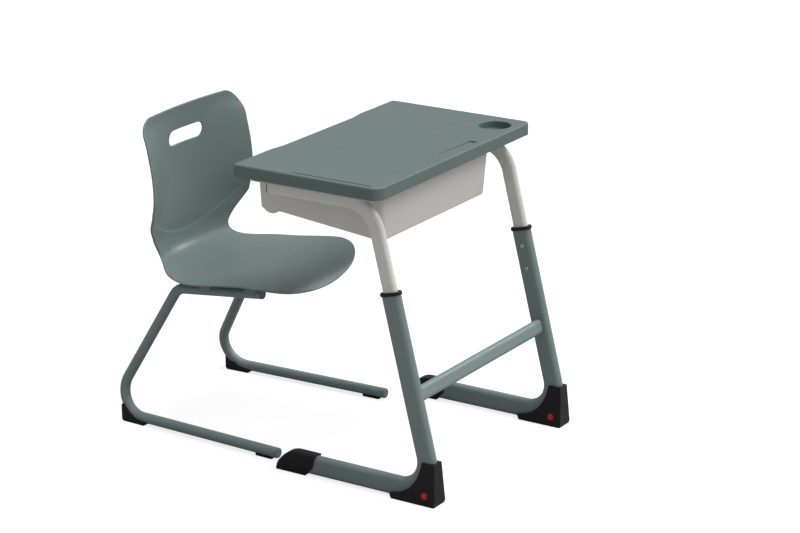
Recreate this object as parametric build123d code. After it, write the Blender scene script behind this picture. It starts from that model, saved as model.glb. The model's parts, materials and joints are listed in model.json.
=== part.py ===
from build123d import *
import os
from math import sqrt, sin, tan, atan2, degrees, acos

# Height-adjustable student desk with its matching sled-base chair.
# Millimetres, +Z up, floor at z = 0.  X runs across the desk; the student sits
# on the +Y side and faces -Y, so the student's right is -X.  "Front" of the desk
# is the student's side (+Y); "front" of the chair is its desk side (-Y).
# Everything is drawn about the desk's own centre and moved by Y_SHIFT on saving,
# so the origin is the bottom centre of the set.

Y_SHIFT = -161.4         # desk centre to the middle of the set's length
SIDES = ((-1, "right"), (1, "left"))

# ---------------------------------------------------------------- desk top
TOP_W = 686.0
TOP_Z = 756.0            # height of the work surface
TOP_T = 30.0             # depth of the rolled edge
UNDERSIDE_Z = TOP_Z - TOP_T
TOP_Y_REAR, TOP_Y_FRONT = -200.0, 205.0
TOP_R_REAR_RIGHT, TOP_R_REAR_LEFT, TOP_R_FRONT = 30.0, 21.0, 9.0
BELLY_Y = 198.5          # recess in the front edge
BELLY_X_FLAT, BELLY_X_END = 140.0, 198.0
TOP_SKIN = 4.0
CAVITY_DEPTH = TOP_T - TOP_SKIN
RIB_PITCH, RIB_T, RIB_DEPTH = 80, 2.4, 18.0
RIB_BITE = 1.5           # how far the ribs run into the edge wall
CUP_X, CUP_Y, CUP_R, CUP_DEPTH, CUP_WALL = 268.0, -140.0, 39.5, 20.0, 2.6
TRAY_X0, TRAY_X1, TRAY_Y0, TRAY_Y1 = -106.0, 117.0, -183.0, -161.0
TRAY_DEPTH_MIN, TRAY_DEPTH_MAX = 0.3, 3.0
GROOVE_X, GROOVE_Y0, GROOVE_Y1, GROOVE_W, GROOVE_DEPTH = -328.5, -172.0, 45.0, 4.0, 1.6

# ---------------------------------------------------------------- desk frame
LEG_X = 295.0            # centre plane of each side frame


def bore_of(size, wall):
    return (size[0] - 2 * wall, size[1] - 2 * wall)


# Flat-oval tubes: (long side, short side) and wall
LEG_WALL, UPPER_WALL, BAR_WALL = 1.5, 1.5, 1.5
LEG_SIZE, UPPER_SIZE, BAR_SIZE = (50.0, 25.0), (38.5, 20.0), (37.0, 20.0)
LEG_BORE = bore_of(LEG_SIZE, LEG_WALL)
UPPER_BORE = bore_of(UPPER_SIZE, UPPER_WALL)
BAR_BORE = bore_of(BAR_SIZE, BAR_WALL)

COLUMN_Y, COLUMN_Z = -202.0, 493.0             # column axis at the top of the lower leg
COLUMN_DY, COLUMN_DZ = -0.2383, -0.9712        # column direction, downwards
COLUMN_DOWN = (0, COLUMN_DY, COLUMN_DZ)
COLUMN_UP = (0, -COLUMN_DY, -COLUMN_DZ)
UPPER_Z, UPPER_Y_END, UPPER_BEND_R = 703.2, 134.0, 85.0   # upper tube's top run
UPPER_REACH = 205.0      # how far the upper tube goes into the lower leg
FOOT_Z, FOOT_Y_END, LEG_BEND_R = 26.5, 82.0, 72.0
BAR_Z = 254.0
CLAMP_DISTANCES = (40.0, 98.0)                 # clamp screws below the top of the lower leg
COLLAR_H = 8.0

# Screws: shank radius, shank length, head radius, head height
TOP_SCREW = (2.0, 14.0, 4.5, 2.6)
BOX_SCREW = (1.5, 13.0, 3.3, 2.0)
CLAMP_SCREW = (3.0, LEG_WALL + 0.7, 5.6, 3.4)
SEAT_SCREW = (2.4, 8.3, 4.3, 2.6)

# Tabs that fix the top to the upper tubes, and their screw places
TAB_YS = (120.0, 14.0, -92.0)
TAB_X = LEG_X + UPPER_SIZE[1] / 2 + 9.0
TAB_Z = UPPER_Z + UPPER_SIZE[0] / 2 - 3.4
TAB_W, TAB_LENGTH, TAB_T = 24.0, 30.0, 2.5
TAB_HOLE_R = 2.5
TAB_PLACES = [(side * TAB_X, y) for side, _ in SIDES for y in TAB_YS]

# ---------------------------------------------------------------- book box
BOX_HALF_BOTTOM, BOX_HALF_TOP = 230.0, 242.0
BOX_Y_REAR_BOTTOM, BOX_Y_REAR_TOP, BOX_Y_FRONT = -136.0, -144.0, 203.0
BOX_Z_REAR, BOX_Z_FRONT, BOX_FLOOR_Y_FRONT = 589.5, 618.5, 158.0
BOX_WALL, BOX_CORNER_R = 3.0, 16.0
RIM_HALF, RIM_Y0, RIM_Y1, RIM_T, RIM_DROP = 326.0, -155.0, 168.0, 3.4, 9.0
BOX_SCREW_PLACES = [(x, RIM_Y0 + 6) for x in (-150.0, 150.0)]

# ---------------------------------------------------------------- chair
CHAIR_X = -24.0          # the chair's own centre plane
RAIL_X, RAIL_SPLAY, RAIL_Z, RAIL_Y_END = 217.0, 0.039, 16.5, 153.0
SEAT_TUBE_X = 173.0
SEAT_TUBE_FRONT, SEAT_TUBE_REAR = (234.0, 389.4), (449.0, 364.0)    # y, z
CHAIR_TUBE_R, CHAIR_TUBE_WALL = 13.0, 1.5
CHAIR_BORE_R = CHAIR_TUBE_R - CHAIR_TUBE_WALL
# a point on the slanted leg, and its y per z
CHAIR_LEG_Y, CHAIR_LEG_Z, CHAIR_LEG_SLOPE = 551.5, 250.0, -0.569
CHAIR_BEND_RADII = [64.0, 38.0]                # rail to leg, leg to seat tube
MOUNT_YS = (398.0, 262.0)

SHELL_T = 5.0
EDGE_LIFT_POWER = 2.1    # how sharply the shell lifts toward its edges
BACK_W, BACK_TOP_Z, BACK_CORNER_R = 407.0, 782.3, 66.0
SLOT_X, SLOT_W, SLOT_H, SLOT_Z, SLOT_R = CHAIR_X - 3, 137.0, 38.0, 700.0, 17.5

# Shell stations from the top of the back to the front of the seat:
# centre y, centre z, tangent y, tangent z, edge lift, half width
SHELL = [
    (572.0, 781.9, 0.220, -0.975, 3.0, 202.7),
    (575.4, 763.6, 0.160, -0.987, 9.5, 203.2),
    (578.1, 744.8, 0.135, -0.991, 21.0, 203.5),
    (580.6, 725.8, 0.120, -0.993, 34.9, 203.8),
    (584.3, 691.0, 0.095, -0.996, 48.1, 204.6),
    (587.5, 660.5, 0.090, -0.996, 58.7, 205.8),
    (590.3, 630.1, 0.085, -0.996, 67.0, 207.5),
    (592.8, 599.6, 0.080, -0.997, 72.2, 208.5),
    (595.2, 569.1, 0.070, -0.998, 73.5, 209.2),
    (597.0, 538.6, 0.052, -0.999, 68.4, 209.3),
    (598.4, 508.1, 0.025, -1.000, 56.5, 200.0),
    (598.6, 477.8, -0.020, -1.000, 43.2, 177.5),
    (597.4, 447.6, -0.170, -0.985, 33.0, 157.5),
    (586.2, 417.2, -0.610, -0.792, 26.0, 145.5),
    (560.6, 397.6, -0.895, -0.446, 18.0, 149.5),
    (530.0, 389.9, -0.984, -0.178, 12.4, 173.0),
    (499.6, 387.4, -0.999, -0.045, 11.6, 197.5),
    (469.4, 387.6, -1.000, 0.030, 11.2, 215.0),
    (438.8, 388.9, -0.997, 0.073, 10.0, 226.5),
    (408.5, 391.6, -0.994, 0.105, 9.0, 232.5),
    (378.1, 395.3, -0.991, 0.132, 9.3, 234.0),
    (347.8, 399.3, -0.991, 0.135, 9.9, 234.0),
    (317.5, 403.4, -0.991, 0.132, 10.4, 233.5),
    (287.1, 407.1, -0.994, 0.110, 10.4, 231.5),
    (259.1, 409.8, -0.998, 0.065, 9.2, 228.0),
    (236.8, 410.2, -0.997, -0.075, 7.2, 226.5),
    (215.0, 406.6, -0.960, -0.280, 5.4, 225.7),
    (195.0, 398.6, -0.880, -0.475, 4.0, 225.2),
    (177.3, 387.2, -0.790, -0.613, 3.0, 225.0),
    (161.6, 373.9, -0.720, -0.694, 2.4, 225.0),
]
# Plan of the seat's front edge: half width, y
FRONT_EDGE = [
    (0, 162.0), (22, 162.4), (40, 163.4), (61, 165.2), (83, 168), (106, 171.5), (132, 177.5),
    (153, 184.5), (174, 194.5), (187, 203), (204, 218), (216, 236), (226, 262),
]

os.makedirs("parts", exist_ok=True)


# =============================================================== helpers
def save(name, *solids):
    shape = solids[0] if len(solids) == 1 else Compound(children=list(solids))
    export_step(Pos(0, Y_SHIFT, 0) * shape, "parts/%s.step" % name)


def save_pair(name, build):
    """Save a right and a left piece, each in its own file."""
    for side, label in SIDES:
        save(name + "_" + label, build(side))


def solid(shape):
    found = shape.solids()
    return found[0] if len(found) == 1 else Compound(children=list(found))


def largest(shape):
    return shape.solids().sort_by(SortBy.VOLUME)[-1]


def rounded_path(points, radii):
    """Straight runs joined by tangent arcs, through 3-D corner points."""
    corners = [Vector(*point) for point in points]
    edges = []
    start = corners[0]
    for before, corner, after, radius in zip(corners, corners[1:], corners[2:], radii):
        back = (before - corner).normalized()
        ahead = (after - corner).normalized()
        half_angle = acos(max(-1.0, min(1.0, back.dot(ahead)))) / 2
        cut = radius / tan(half_angle)
        arc_start, arc_end = corner + back * cut, corner + ahead * cut
        inward = (back + ahead).normalized()
        centre = corner + inward * (radius / sin(half_angle))
        edges.append(Edge.make_line(start, arc_start))
        edges.append(Edge.make_three_point_arc(arc_start, centre - inward * radius, arc_end))
        start = arc_end
    edges.append(Edge.make_line(start, corners[-1]))
    return Wire(edges)


def oval(size, grow=0.0):
    """Flat-oval face with its long side on local Y; grow is added to both sizes."""
    return Rot(0, 0, 90) * SlotOverall(size[0] + grow, size[1] + grow)


def swept_oval(points, radius, x, size, grow=0.0):
    """Flat-oval bar at x, through (y, z) points with one bend."""
    path = rounded_path([(x, y, z) for y, z in points], [radius])
    (y0, z0), (y1, z1) = points[:2]
    direction = Vector(0, y1 - y0, z1 - z0).normalized()
    plane = Plane(origin=(x, y0, z0), x_dir=(1, 0, 0), z_dir=direction)
    return sweep(plane * oval(size, grow), path=path)


def swept_round(points, radii, radius):
    path = rounded_path(points, radii)
    direction = (Vector(*points[1]) - Vector(*points[0])).normalized()
    return sweep(Plane(origin=points[0], z_dir=direction) * Circle(radius), path=path)


def oval_prism(start, direction, length, size, grow=0.0):
    """Straight flat-oval bar; the direction lies in the YZ plane."""
    plane = Plane(origin=start, x_dir=(1, 0, 0), z_dir=direction)
    return extrude(plane * oval(size, grow), length)


def prism(place, points, length):
    return extrude(place * make_face(Polyline(*points, close=True)), length)


def rod(start, direction, radius, length):
    return extrude(Plane(origin=start, z_dir=direction) * Circle(radius), length)


def rounded_disc(start, direction, radius, length, rounding):
    """Rod with its far end rounded."""
    disc = rod(start, direction, radius, length)
    return fillet(disc.edges().sort_by(Axis(start, direction))[-1], rounding)


def button_head(start, direction, radius, height):
    """Domed head with a hexagon socket; direction points out of the head."""
    plane = Plane(origin=start, z_dir=direction)
    head = extrude(plane * Circle(radius), height)
    head = fillet(head.edges().group_by(Axis(start, direction))[-1], height * 0.7)
    return head - extrude(plane.offset(height * 0.35) * RegularPolygon(radius * 0.42, 6), height)


def screw(start, direction, sizes):
    """Button-head screw whose shank runs from start along direction."""
    shank_r, shank_length, head_r, head_h = sizes
    outward = tuple(-part for part in direction)
    shank = rod(start, direction, shank_r, shank_length)
    return solid(shank + button_head(start, outward, head_r, head_h))


def drill(part, places, z, radius, depth):
    """Upright holes centred on height z at each (x, y) place."""
    for x, y in places:
        part -= Pos(x, y, z) * Cylinder(radius, depth)
    return part


def column_point(distance):
    """(y, z) on the column axis, measured down from the top of the lower leg."""
    return (COLUMN_Y + COLUMN_DY * distance, COLUMN_Z + COLUMN_DZ * distance)


def column_y(z):
    return COLUMN_Y + (z - COLUMN_Z) * COLUMN_DY / COLUMN_DZ


# =============================================================== desk top
def top_outline(inset):
    half = TOP_W / 2 - inset
    rear, front, belly = TOP_Y_REAR + inset, TOP_Y_FRONT - inset, BELLY_Y - inset
    with BuildSketch() as outline:
        with BuildLine():
            Spline((BELLY_X_END, front), (BELLY_X_FLAT, belly), tangents=((-1, 0), (-1, 0)))
            Line((BELLY_X_FLAT, belly), (-BELLY_X_FLAT, belly))
            Spline((-BELLY_X_FLAT, belly), (-BELLY_X_END, front), tangents=((-1, 0), (-1, 0)))
            Polyline((-BELLY_X_END, front), (-half, front), (-half, rear), (half, rear),
                     (half, front), (BELLY_X_END, front))
        make_face()
        fillet([v for v in outline.vertices() if v.Y < 0 and v.X < 0], TOP_R_REAR_RIGHT - inset)
        fillet([v for v in outline.vertices() if v.Y < 0 and v.X > half - 1],
               TOP_R_REAR_LEFT - inset)
        fillet([v for v in outline.vertices() if v.Y > front - 1 and abs(v.X) > half - 1],
               TOP_R_FRONT - inset)
    return outline.sketch.face()


def underside_ribs():
    """Rib grid and screw bosses, trimmed to end inside the edge wall."""
    ribs = Part()
    rib_z = TOP_Z - TOP_SKIN - RIB_DEPTH / 2
    for x in range(-280, 281, RIB_PITCH):
        ribs += Pos(x, 0, rib_z) * Box(RIB_T, 420, RIB_DEPTH)
    for y in range(-160, 161, RIB_PITCH):
        ribs += Pos(0, y, rib_z) * Box(700, RIB_T, RIB_DEPTH)
    for places, boss_r in ((TAB_PLACES, 7), (BOX_SCREW_PLACES, 6)):
        for x, y in places:
            ribs += Pos(x, y, UNDERSIDE_Z + CAVITY_DEPTH / 2) * Cylinder(boss_r, CAVITY_DEPTH)
    return ribs & extrude(Pos(0, 0, UNDERSIDE_Z) * top_outline(TOP_SKIN - RIB_BITE),
                          CAVITY_DEPTH + 1)


def tray_cutter():
    """Pencil trough that deepens toward the cup end."""
    wedge = prism(Plane.XZ.offset(-TRAY_Y1 - 1), [
        (TRAY_X0 - 1, TOP_Z + 5), (TRAY_X1 + 1, TOP_Z + 5),
        (TRAY_X1 + 1, TOP_Z - TRAY_DEPTH_MAX), (TRAY_X0 - 1, TOP_Z - TRAY_DEPTH_MIN),
    ], TRAY_Y1 - TRAY_Y0 + 2)
    plan = extrude(Pos((TRAY_X0 + TRAY_X1) / 2, (TRAY_Y0 + TRAY_Y1) / 2, TOP_Z - 10)
                   * RectangleRounded(TRAY_X1 - TRAY_X0, TRAY_Y1 - TRAY_Y0, 6), 20)
    return wedge & plan


def desktop_panel():
    panel = extrude(Pos(0, 0, UNDERSIDE_Z) * top_outline(0), TOP_T)
    panel = fillet(panel.edges().group_by(Axis.Z)[-1], 4.5)
    panel = fillet(panel.edges().group_by(Axis.Z)[0], 1.2)
    panel = panel - extrude(Pos(0, 0, UNDERSIDE_Z - 1) * top_outline(TOP_SKIN), CAVITY_DEPTH + 1)
    panel = panel + underside_ribs()

    panel = panel + (Pos(CUP_X, CUP_Y, TOP_Z - CUP_DEPTH / 2 - 2)
                     * Cylinder(CUP_R + CUP_WALL, CUP_DEPTH + 2))
    cup = Pos(CUP_X, CUP_Y, TOP_Z - CUP_DEPTH / 2 + 5) * Cylinder(CUP_R, CUP_DEPTH + 10)
    panel -= fillet(cup.edges().group_by(Axis.Z)[0], 4)
    cup_mouth = panel.edges().filter_by(GeomType.CIRCLE).filter_by(
        lambda edge: abs(edge.radius - CUP_R) < 0.01 and abs(edge.center().Z - TOP_Z) < 0.01)
    panel = fillet(cup_mouth, 2.0)

    panel -= tray_cutter()
    panel -= extrude(Pos(GROOVE_X, (GROOVE_Y0 + GROOVE_Y1) / 2, TOP_Z - GROOVE_DEPTH)
                     * Rot(0, 0, 90) * SlotOverall(GROOVE_Y1 - GROOVE_Y0, GROOVE_W), 10)
    panel = drill(panel, TAB_PLACES, UNDERSIDE_Z + 7, 2.1, 18)
    panel = drill(panel, BOX_SCREW_PLACES, UNDERSIDE_Z + 6, 1.6, 16)
    return solid(panel)


save("desktop_panel", desktop_panel())


# =============================================================== upper frame
def upper_points(extend=0.0):
    return [(UPPER_Y_END + extend, UPPER_Z), (column_y(UPPER_Z), UPPER_Z),
            column_point(UPPER_REACH + extend)]


def upper_leg(side):
    x = side * LEG_X
    return solid(swept_oval(upper_points(), UPPER_BEND_R, x, UPPER_SIZE)
                 - swept_oval(upper_points(1), UPPER_BEND_R, x, UPPER_BORE))


def upper_end_plug(side):
    start = (side * LEG_X, UPPER_Y_END, UPPER_Z)
    flange = oval_prism(start, (0, 1, 0), 3.0, UPPER_SIZE)
    flange = fillet(flange.edges().group_by(Axis.Y)[-1], 1.2)
    return solid(flange + oval_prism(start, (0, -1, 0), 16.0, UPPER_BORE, -0.3))


def slide_bush(side):
    """Lower end bush that keeps the upper tube quiet inside the leg."""
    start = (side * LEG_X, *column_point(UPPER_REACH))
    return solid(oval_prism(start, COLUMN_DOWN, 6.0, LEG_BORE, -0.6)
                 + oval_prism(start, COLUMN_UP, 18.0, UPPER_BORE, -0.3))


def fixing_tab(side, y):
    """Plate shaped to the side of the upper tube, drilled for the top's screw."""
    plate = (Pos(side * (LEG_X + UPPER_SIZE[1] / 2 + 6.0), y, TAB_Z + TAB_T / 2)
             * Box(TAB_W, TAB_LENGTH, TAB_T))
    plate = fillet(plate.edges().filter_by(Axis.Z), 4.0)
    plate -= oval_prism((side * LEG_X, y - 40, UPPER_Z), (0, 1, 0), 80, UPPER_SIZE, 0.1)
    return solid(largest(plate) - Pos(side * TAB_X, y, TAB_Z) * Cylinder(TAB_HOLE_R, 12))


save_pair("upper_leg", upper_leg)
save("upper_tube_end_plugs", *[upper_end_plug(side) for side, _ in SIDES])
save("upper_tube_slide_bushes", *[slide_bush(side) for side, _ in SIDES])
save("top_fixing_tabs", *[fixing_tab(side, y) for side, _ in SIDES for y in TAB_YS])
save("top_fixing_screws", *[screw((x, y, TAB_Z), (0, 0, 1), TOP_SCREW) for x, y in TAB_PLACES])

# =============================================================== book box
BOX_SLOPE = (BOX_Z_FRONT - BOX_Z_REAR) / (BOX_FLOOR_Y_FRONT - BOX_Y_REAR_BOTTOM)
BOX_TAPER = (BOX_HALF_TOP - BOX_HALF_BOTTOM) / (UNDERSIDE_Z - BOX_Z_REAR)
# Side view of the box, y and z: sloping floor, then a shallow lip at the open front
BOX_PROFILE = [
    (BOX_Y_REAR_BOTTOM, BOX_Z_REAR), (BOX_FLOOR_Y_FRONT, BOX_Z_FRONT),
    (163, 614.5), (170, 612), (181, 612), (190, 615),
    (BOX_Y_FRONT, 626), (BOX_Y_FRONT, UNDERSIDE_Z), (BOX_Y_REAR_TOP, UNDERSIDE_Z),
]


def box_front_view(inset, z0, z1):
    """Prism along Y with the box's tapered sides, moved in by inset."""
    half0 = BOX_HALF_BOTTOM - inset + BOX_TAPER * (z0 - BOX_Z_REAR)
    half1 = BOX_HALF_BOTTOM - inset + BOX_TAPER * (z1 - BOX_Z_REAR)
    return prism(Plane.XZ.offset(-400),
                 [(-half0, z0), (half0, z0), (half1, z1), (-half1, z1)], 800)


def rear_corner_edges(part, y_max, z_min, z_max):
    def chosen(edge):
        middle = edge.center()
        return middle.Y < y_max and abs(middle.X) > 200 and z_min < middle.Z < z_max
    return part.edges().filter_by(chosen)


def floor_edges(part, rear_z, rear_reach, rear_y_max, side_z, side_reach, side_y):
    """Edges along the rear and the two sides of the floor."""
    def chosen(edge):
        middle = edge.center()
        at_rear = abs(middle.Z - rear_z) < rear_reach and middle.Y < rear_y_max
        at_side = (abs(middle.X) > 200 and abs(middle.Z - side_z) < side_reach
                   and abs(middle.Y - side_y) < 60)
        return at_rear or at_side
    return part.edges().filter_by(chosen)


def box_body():
    body = prism(Plane.YZ.offset(-260), BOX_PROFILE, 520) & box_front_view(0, 560, UNDERSIDE_Z)
    body = fillet(rear_corner_edges(body, y_max=BOX_Y_REAR_BOTTOM, z_min=BOX_Z_REAR + 5,
                                    z_max=UNDERSIDE_Z - 5), BOX_CORNER_R)
    return fillet(floor_edges(body, rear_z=BOX_Z_REAR, rear_reach=4, rear_y_max=-110,
                              side_z=(BOX_Z_REAR + BOX_Z_FRONT) / 2, side_reach=9, side_y=0), 8)


def box_hollow():
    """Inside of the box, open at the front and the top."""
    lift = BOX_WALL * sqrt(1 + BOX_SLOPE * BOX_SLOPE)
    y_open = 260
    profile = [
        (BOX_Y_REAR_BOTTOM + 3, BOX_Z_REAR + lift + 0.3),
        (y_open, BOX_Z_REAR + lift + BOX_SLOPE * (y_open - BOX_Y_REAR_BOTTOM)),
        (y_open, UNDERSIDE_Z + 20), (BOX_Y_REAR_TOP + 2, UNDERSIDE_Z + 20),
    ]
    hollow = (prism(Plane.YZ.offset(-260), profile, 520)
              & box_front_view(BOX_WALL, 560, UNDERSIDE_Z + 20))
    hollow = fillet(rear_corner_edges(hollow, y_max=BOX_Y_REAR_BOTTOM + 10,
                                      z_min=BOX_Z_REAR + 12, z_max=UNDERSIDE_Z + 10),
                    BOX_CORNER_R - BOX_WALL)
    return fillet(floor_edges(hollow, rear_z=BOX_Z_REAR + lift, rear_reach=5, rear_y_max=-100,
                              side_z=613, side_reach=14, side_y=70), 5.5)


def box_rim():
    """Wide plate under the desk top, turned down at its sides and rear."""
    depth, middle_y = RIM_Y1 - RIM_Y0, (RIM_Y0 + RIM_Y1) / 2
    plate = extrude(Pos(0, middle_y, UNDERSIDE_Z - RIM_DROP)
                    * RectangleRounded(2 * RIM_HALF, depth, 9), RIM_DROP)
    plate = fillet(plate.edges().group_by(Axis.Z)[-1], 1.2)
    return plate - extrude(Pos(0, middle_y + 10, UNDERSIDE_Z - RIM_DROP - 5)
                           * RectangleRounded(2 * RIM_HALF - 5, depth + 15, 7),
                           RIM_DROP + 5 - RIM_T)


def book_box():
    box = (box_body() + box_rim()) - box_hollow()
    box = drill(box, TAB_PLACES, UNDERSIDE_Z, TAB_HOLE_R, 20)
    return solid(drill(box, BOX_SCREW_PLACES, UNDERSIDE_Z, 2.2, 20))


save("book_box", book_box())
save("book_box_screws", *[screw((x, y, UNDERSIDE_Z - RIM_T), (0, 0, 1), BOX_SCREW)
                          for x, y in BOX_SCREW_PLACES])

# =============================================================== lower frame
LEG_INNER_X = LEG_X - LEG_SIZE[1] / 2          # inner flat of each leg


def leg_points(extend=0.0):
    return [column_point(-extend), (column_y(FOOT_Z), FOOT_Z), (FOOT_Y_END + extend, FOOT_Z)]


def lower_leg(side):
    x = side * LEG_X
    leg = (swept_oval(leg_points(), LEG_BEND_R, x, LEG_SIZE)
           - swept_oval(leg_points(1), LEG_BEND_R, x, LEG_BORE))
    for distance in CLAMP_DISTANCES:
        start = (side * (LEG_X - LEG_SIZE[1]), *column_point(distance))
        leg -= rod(start, (side, 0, 0), 3.1, LEG_SIZE[1])
    return solid(leg)


def leg_crossbar():
    plane = Plane(origin=(-LEG_INNER_X, column_y(BAR_Z), BAR_Z), x_dir=COLUMN_DOWN,
                  z_dir=(1, 0, 0))
    length = 2 * LEG_INNER_X
    return solid(extrude(plane * SlotOverall(*BAR_SIZE), length)
                 - extrude(plane * SlotOverall(*BAR_BORE), length))


def clamp_screw(side, distance):
    start = (side * LEG_INNER_X, *column_point(distance))
    return screw(start, (side, 0, 0), CLAMP_SCREW)


def guide_collar(side):
    """Lip on the top of the leg with a thin sleeve inside it."""
    x = side * LEG_X
    start = (x, *column_point(0))
    lip = oval_prism(start, COLUMN_UP, COLLAR_H, LEG_SIZE, 6)
    lip = fillet(lip.edges().sort_by(Axis(start, COLUMN_UP))[-4:], 2.4)
    sleeve = oval_prism(start, COLUMN_DOWN, 28, LEG_BORE, -0.2)
    bore = oval_prism((x, *column_point(-40)), COLUMN_DOWN, 90, UPPER_SIZE, 0.5)
    return solid(lip + sleeve - bore)


save_pair("lower_leg", lower_leg)
save("leg_crossbar", leg_crossbar())
save("height_clamp_screws", *[clamp_screw(side, distance)
                              for side, _ in SIDES for distance in CLAMP_DISTANCES])
save_pair("guide_collar", guide_collar)

# Corner shoe: a tapered block round the outside of the leg's bend.
# Side view, y and z: straight outer run, then the curve inside the bend
SHOE_OUTER = [(-292, 104), (-326, 104), (-329, 60), (-331, 8), (-328.5, 0), (-212, 0), (-206, 12)]
SHOE_INNER = [(-206, 12), (-232, 19), (-258, 35), (-279, 62), (-288, 86), (-292, 104)]
SHOE_HALF, SHOE_HALF_MID, SHOE_HALF_TOP = 25.0, 19.0, 16.0
SHOE_WIDE_Z, SHOE_MID_Z = 2, 60                # heights of the widest and middle half widths
SHOE_RISE = SHOE_MID_Z - SHOE_WIDE_Z
SHOE_PLUG_Y, SHOE_PLUG_Z = -302, 25
SHOE_PLUG_FACE_Z = 24                          # height at which the plug's x is taken


def shoe_plug_places(side):
    """Centre and outward normal of the round socket on each tapered flank."""
    narrowing = SHOE_HALF - SHOE_HALF_MID
    reach = SHOE_HALF - narrowing * (SHOE_PLUG_FACE_Z - SHOE_WIDE_Z) / SHOE_RISE
    return [(Vector(side * LEG_X + flank * reach, SHOE_PLUG_Y, SHOE_PLUG_Z),
             Vector(flank, 0, narrowing / SHOE_RISE).normalized()) for flank in (-1, 1)]


def corner_shoe(side):
    x = side * LEG_X
    outline = Curve() + [Polyline(*SHOE_OUTER), Spline(*SHOE_INNER)]
    block = extrude(Plane.YZ.offset(x - 40) * make_face(outline), 80)
    flare = prism(Plane.XZ, [
        (x - SHOE_HALF + 1.5, 0), (x + SHOE_HALF - 1.5, 0), (x + SHOE_HALF, SHOE_WIDE_Z),
        (x + SHOE_HALF_MID, SHOE_MID_Z), (x + SHOE_HALF_TOP, 114), (x - SHOE_HALF_TOP, 114),
        (x - SHOE_HALF_MID, SHOE_MID_Z), (x - SHOE_HALF, SHOE_WIDE_Z),
    ], 500)
    shoe = block & flare
    shoe -= swept_oval(leg_points(), LEG_BEND_R, x, LEG_SIZE, 0.3)
    for centre, normal in shoe_plug_places(side):
        shoe -= rod(centre - normal * 4, normal, 8.4, 12)
    return solid(shoe)


def shoe_plug(centre, normal):
    return solid(rounded_disc(centre - normal * 3.8, normal, 8.25, 4.6, 0.7))


def foot_cap(side):
    """Cap over the open front end of the foot tube."""
    x = side * LEG_X
    top = Polyline((9, 54), (64, 54))
    nose = Spline((64, 54), (94, 45.5), (115, 26), (125.5, 3), tangents=((1, 0), (0.15, -1)))
    base = Polyline((125.5, 3), (123, 0), (38, 0))
    back = Spline((38, 0), (28, 12), (20, 20), (16, 32), (14, 43), (9, 54))
    outline = Curve() + [top, nose, base, back]
    cap = extrude(Plane.YZ.offset(x - 16.5) * make_face(outline), 33)
    # the fillet along the splined nose can fail; the cap then keeps sharp edges
    try:
        cap = fillet(cap.edges().filter_by(
            lambda edge: edge.center().Z > 20 and edge.center().Y > 20
            and abs(edge.center().X - x) > 10), 7)
    except Exception:
        pass
    cap -= oval_prism((x, -60, FOOT_Z), (0, 1, 0), FOOT_Y_END + 60.4, LEG_SIZE, 0.3)
    return largest(cap)


save_pair("corner_shoe", corner_shoe)
save("corner_shoe_plugs", *[shoe_plug(centre, normal) for side, _ in SIDES
                            for centre, normal in shoe_plug_places(side)])
save_pair("foot_cap", foot_cap)

# =============================================================== chair frame
# Corners of the frame's centre line in the YZ plane: the rail meets the slanted leg
# at RAIL_REAR_Y, and the leg meets the seat tube at (SEAT_CORNER_Y, SEAT_CORNER_Z).
RAIL_REAR_Y = CHAIR_LEG_Y + (RAIL_Z - CHAIR_LEG_Z) * CHAIR_LEG_SLOPE
SEAT_SLOPE = ((SEAT_TUBE_FRONT[1] - SEAT_TUBE_REAR[1])
              / (SEAT_TUBE_FRONT[0] - SEAT_TUBE_REAR[0]))
SEAT_CORNER_Z = ((SEAT_TUBE_REAR[1] + SEAT_SLOPE
                  * (RAIL_REAR_Y - RAIL_Z * CHAIR_LEG_SLOPE - SEAT_TUBE_REAR[0]))
                 / (1 - SEAT_SLOPE * CHAIR_LEG_SLOPE))
SEAT_CORNER_Y = RAIL_REAR_Y + (SEAT_CORNER_Z - RAIL_Z) * CHAIR_LEG_SLOPE


def rail_x(side, y):
    """The rails splay outward toward their front ends."""
    return CHAIR_X + side * (RAIL_X + RAIL_SPLAY * (RAIL_REAR_Y - y))


def seat_tube_x(side):
    return CHAIR_X + side * SEAT_TUBE_X


def seat_tube_z(y):
    return SEAT_TUBE_REAR[1] + SEAT_SLOPE * (y - SEAT_TUBE_REAR[0])


def chair_sweep(side, radius, extend=0.0):
    """Round bar along one side of the frame, lengthened by extend at both ends."""
    rail_end = RAIL_Y_END - extend
    return swept_round([
        (rail_x(side, rail_end), rail_end, RAIL_Z),
        (CHAIR_X + side * RAIL_X, RAIL_REAR_Y, RAIL_Z),
        (seat_tube_x(side), SEAT_CORNER_Y, SEAT_CORNER_Z),
        (seat_tube_x(side), SEAT_TUBE_FRONT[0] - extend, SEAT_TUBE_FRONT[1] - extend * SEAT_SLOPE),
    ], CHAIR_BEND_RADII, radius)


def chair_frame(side):
    tube = chair_sweep(side, CHAIR_TUBE_R) - chair_sweep(side, CHAIR_BORE_R, 1.0)
    for y in MOUNT_YS:
        x, z = seat_tube_x(side), seat_tube_z(y)
        tube -= Pos(x, y, z) * Cylinder(2.8, 40)
        # wider hole in the lower wall lets the screw head in
        tube -= Pos(x, y, z - CHAIR_TUBE_R) * Cylinder(5.4, 8)
    return solid(tube)


def seat_tie(y):
    """Cross tube between the seat tubes, its ends shaped to them."""
    z = seat_tube_z(y) - 1.0
    tie = (rod((CHAIR_X - SEAT_TUBE_X, y, z), (1, 0, 0), 8.0, 2 * SEAT_TUBE_X)
           - rod((CHAIR_X - SEAT_TUBE_X - 1, y, z), (1, 0, 0), 6.6, 2 * SEAT_TUBE_X + 2))
    for side, _ in SIDES:
        tie -= rod((seat_tube_x(side), 500, seat_tube_z(500)), (0, -1, -SEAT_SLOPE),
                   CHAIR_TUBE_R + 0.02, 320)
    return largest(tie)


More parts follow.
